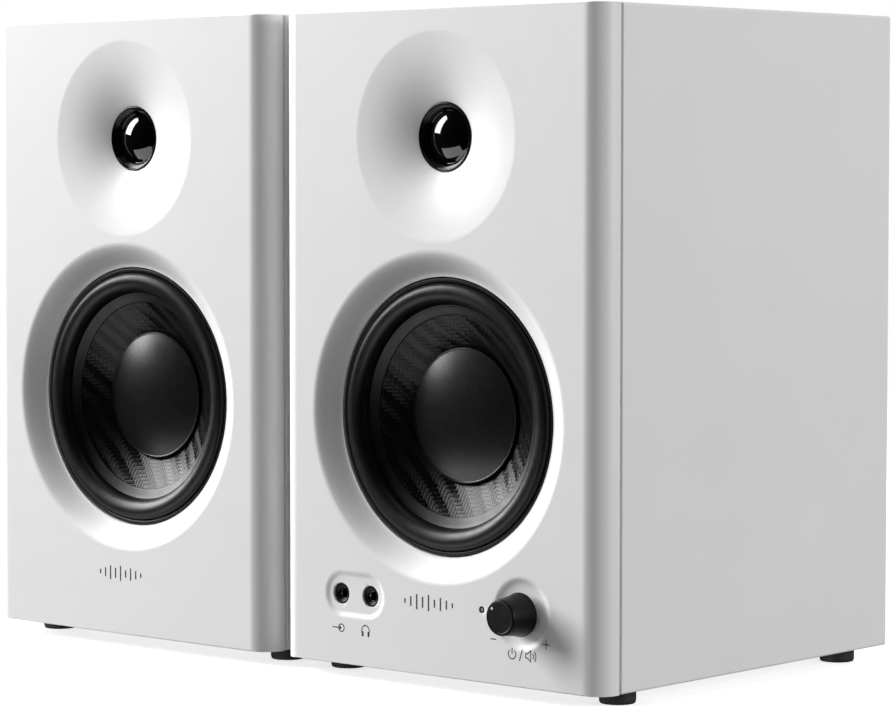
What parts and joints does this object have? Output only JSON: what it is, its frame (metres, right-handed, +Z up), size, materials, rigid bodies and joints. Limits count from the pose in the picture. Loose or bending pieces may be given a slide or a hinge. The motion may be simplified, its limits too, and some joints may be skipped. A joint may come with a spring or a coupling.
{
  "type": "desktop speakers",
  "caption": "Pair of white two-way desktop speakers, one active and one passive, with a tweeter dish, a woven woofer cone, front volume knob and jacks, and rear connectors.",
  "frame": {"origin": "middle of the pair's footprint, on the surface it stands on", "axes": "+Z up, +X to the right for someone facing the baffles, towards the active speaker, +Y from the baffles to the rear"},
  "size_m": [0.287, 0.18, 0.223],
  "materials": {
    "white_vinyl": "satin vinyl wrap over fibreboard",
    "white_moulding": "fine satin moulded plastic",
    "black_board": "black laminate over fibreboard",
    "black_plastic": "satin moulded plastic",
    "gloss_black": "polished black",
    "rubber_feet": "matte rubber",
    "surround_rubber": "satin butyl rubber",
    "woven_cone": "black twill weave under clear resin",
    "dust_cap": "soft matte black",
    "spider_cloth": "resin-treated cotton",
    "copper_coil": "lacquered copper wire",
    "black_steel": "black powder coat",
    "zinc_steel": "zinc plated",
    "ferrite": "sintered ferrite",
    "circuit_board": "solder resist",
    "aluminium_fins": "extruded",
    "transformer_body": "varnished laminations and tape",
    "plated_metal": "bright plated",
    "lever_red": "moulded red",
    "lever_black": "moulded black",
    "led_lens": "smoked diffuser",
    "white_plastic": "natural nylon"
  },
  "bodies": {
    "active_speaker": {"active_cabinet": "white_vinyl", "active_rear_board": "black_board", "active_baffle": "white_moulding", "active_port_tube": "black_plastic", "active_feet": "rubber_feet", "active_screws": "black_steel", "active_woofer_basket": "black_steel", "active_woofer_magnet": "ferrite", "active_woofer_plates": "zinc_steel", "active_woofer_spider": "spider_cloth", "active_woofer_surround": "surround_rubber", "active_tweeter_ring": "gloss_black", "active_tweeter_motor": "black_steel", "volume_encoder": "zinc_steel", "control_board": "circuit_board", "aux_jack": "black_plastic", "headphone_jack": "black_plastic", "power_led": "led_lens", "amp_plate": "black_steel", "amp_board": "circuit_board", "heat_sink": "aluminium_fins", "mains_transformer": "transformer_body", "power_inlet": "black_plastic", "rca_jacks": "plated_metal", "balanced_jacks": "black_plastic", "tone_pots": "zinc_steel", "active_terminals": "black_plastic"},
    "passive_speaker": {"passive_cabinet": "white_vinyl", "passive_rear_board": "black_board", "passive_baffle": "white_moulding", "passive_port_tube": "black_plastic", "passive_feet": "rubber_feet", "passive_screws": "black_steel", "passive_woofer_basket": "black_steel", "passive_woofer_magnet": "ferrite", "passive_woofer_plates": "zinc_steel", "passive_woofer_spider": "spider_cloth", "passive_woofer_surround": "surround_rubber", "passive_tweeter_ring": "gloss_black", "passive_tweeter_motor": "black_steel", "passive_terminals": "black_plastic", "crossover_board": "circuit_board"},
    "active_woofer_mover": {"active_woofer_cone": "woven_cone", "active_woofer_coil": "copper_coil", "active_dust_cap": "dust_cap"},
    "active_tweeter_mover": {"active_tweeter_dome": "gloss_black"},
    "passive_woofer_mover": {"passive_woofer_cone": "woven_cone", "passive_woofer_coil": "copper_coil", "passive_dust_cap": "dust_cap"},
    "passive_tweeter_mover": {"passive_tweeter_dome": "gloss_black"},
    "volume_push_part": {"volume_plunger": "white_plastic"},
    "volume_turn_part": {"volume_knob": "black_plastic", "volume_shaft": "zinc_steel"},
    "treble_knob_part": {"treble_knob": "black_plastic"},
    "bass_knob_part": {"bass_knob": "black_plastic"},
    "active_red_lever_part": {"active_red_lever": "lever_red"},
    "active_black_lever_part": {"active_black_lever": "lever_black"},
    "passive_red_lever_part": {"passive_red_lever": "lever_red"},
    "passive_black_lever_part": {"passive_black_lever": "lever_black"}
  },
  "joints": [
    {"name": "passive_placing", "type": "slide", "parent": "active_speaker", "child": "passive_speaker", "axis": [-1, 0, 0], "range_m": [0, 0.4]},
    {"name": "active_woofer_travel", "type": "slide", "parent": "active_speaker", "child": "active_woofer_mover", "axis": [0, -1, 0], "range_m": [-0.003, 0.003], "stiffness_N_per_m": 900, "deforming": ["active_woofer_surround", "active_woofer_spider"]},
    {"name": "active_tweeter_travel", "type": "slide", "parent": "active_speaker", "child": "active_tweeter_mover", "axis": [0, -1, 0], "range_m": [-0.0003, 0.0003], "stiffness_N_per_m": 80},
    {"name": "passive_woofer_travel", "type": "slide", "parent": "passive_speaker", "child": "passive_woofer_mover", "axis": [0, -1, 0], "range_m": [-0.003, 0.003], "stiffness_N_per_m": 900, "deforming": ["passive_woofer_surround", "passive_woofer_spider"]},
    {"name": "passive_tweeter_travel", "type": "slide", "parent": "passive_speaker", "child": "passive_tweeter_mover", "axis": [0, -1, 0], "range_m": [-0.0003, 0.0003], "stiffness_N_per_m": 80},
    {"name": "volume_push", "type": "slide", "parent": "active_speaker", "child": "volume_push_part", "axis": [0, 1, 0], "range_m": [0, 0.0005], "stiffness_N_per_m": 600, "springref_m": -0.002},
    {"name": "volume_turn", "type": "hinge", "parent": "volume_push_part", "child": "volume_turn_part", "pos_m": [0.1108, -0.07905, 0.0287], "axis": [0, 1, 0], "range_deg": [-100, 200]},
    {"name": "treble_turn", "type": "hinge", "parent": "active_speaker", "child": "treble_knob_part", "pos_m": [0.0515, 0.07895, 0.129], "axis": [0, -1, 0], "range_deg": [-150, 150]},
    {"name": "bass_turn", "type": "hinge", "parent": "active_speaker", "child": "bass_knob_part", "pos_m": [0.0955, 0.07895, 0.129], "axis": [0, -1, 0], "range_deg": [-150, 150]},
    {"name": "active_red_lever_press", "type": "hinge", "parent": "active_speaker", "child": "active_red_lever_part", "pos_m": [0.046, 0.07695, 0.071], "axis": [-1, 0, 0], "range_deg": [0, 20], "stiffness_Nm_per_rad": 0.008, "springref_deg": -28.65},
    {"name": "active_black_lever_press", "type": "hinge", "parent": "active_speaker", "child": "active_black_lever_part", "pos_m": [0.061, 0.07695, 0.071], "axis": [-1, 0, 0], "range_deg": [0, 20], "stiffness_Nm_per_rad": 0.008, "springref_deg": -28.65},
    {"name": "passive_red_lever_press", "type": "hinge", "parent": "passive_speaker", "child": "passive_red_lever_part", "pos_m": [-0.081, 0.07695, 0.069], "axis": [-1, 0, 0], "range_deg": [0, 20], "stiffness_Nm_per_rad": 0.008, "springref_deg": -28.65},
    {"name": "passive_black_lever_press", "type": "hinge", "parent": "passive_speaker", "child": "passive_black_lever_part", "pos_m": [-0.066, 0.07695, 0.069], "axis": [-1, 0, 0], "range_deg": [0, 20], "stiffness_Nm_per_rad": 0.008, "springref_deg": -28.65}
  ]
}
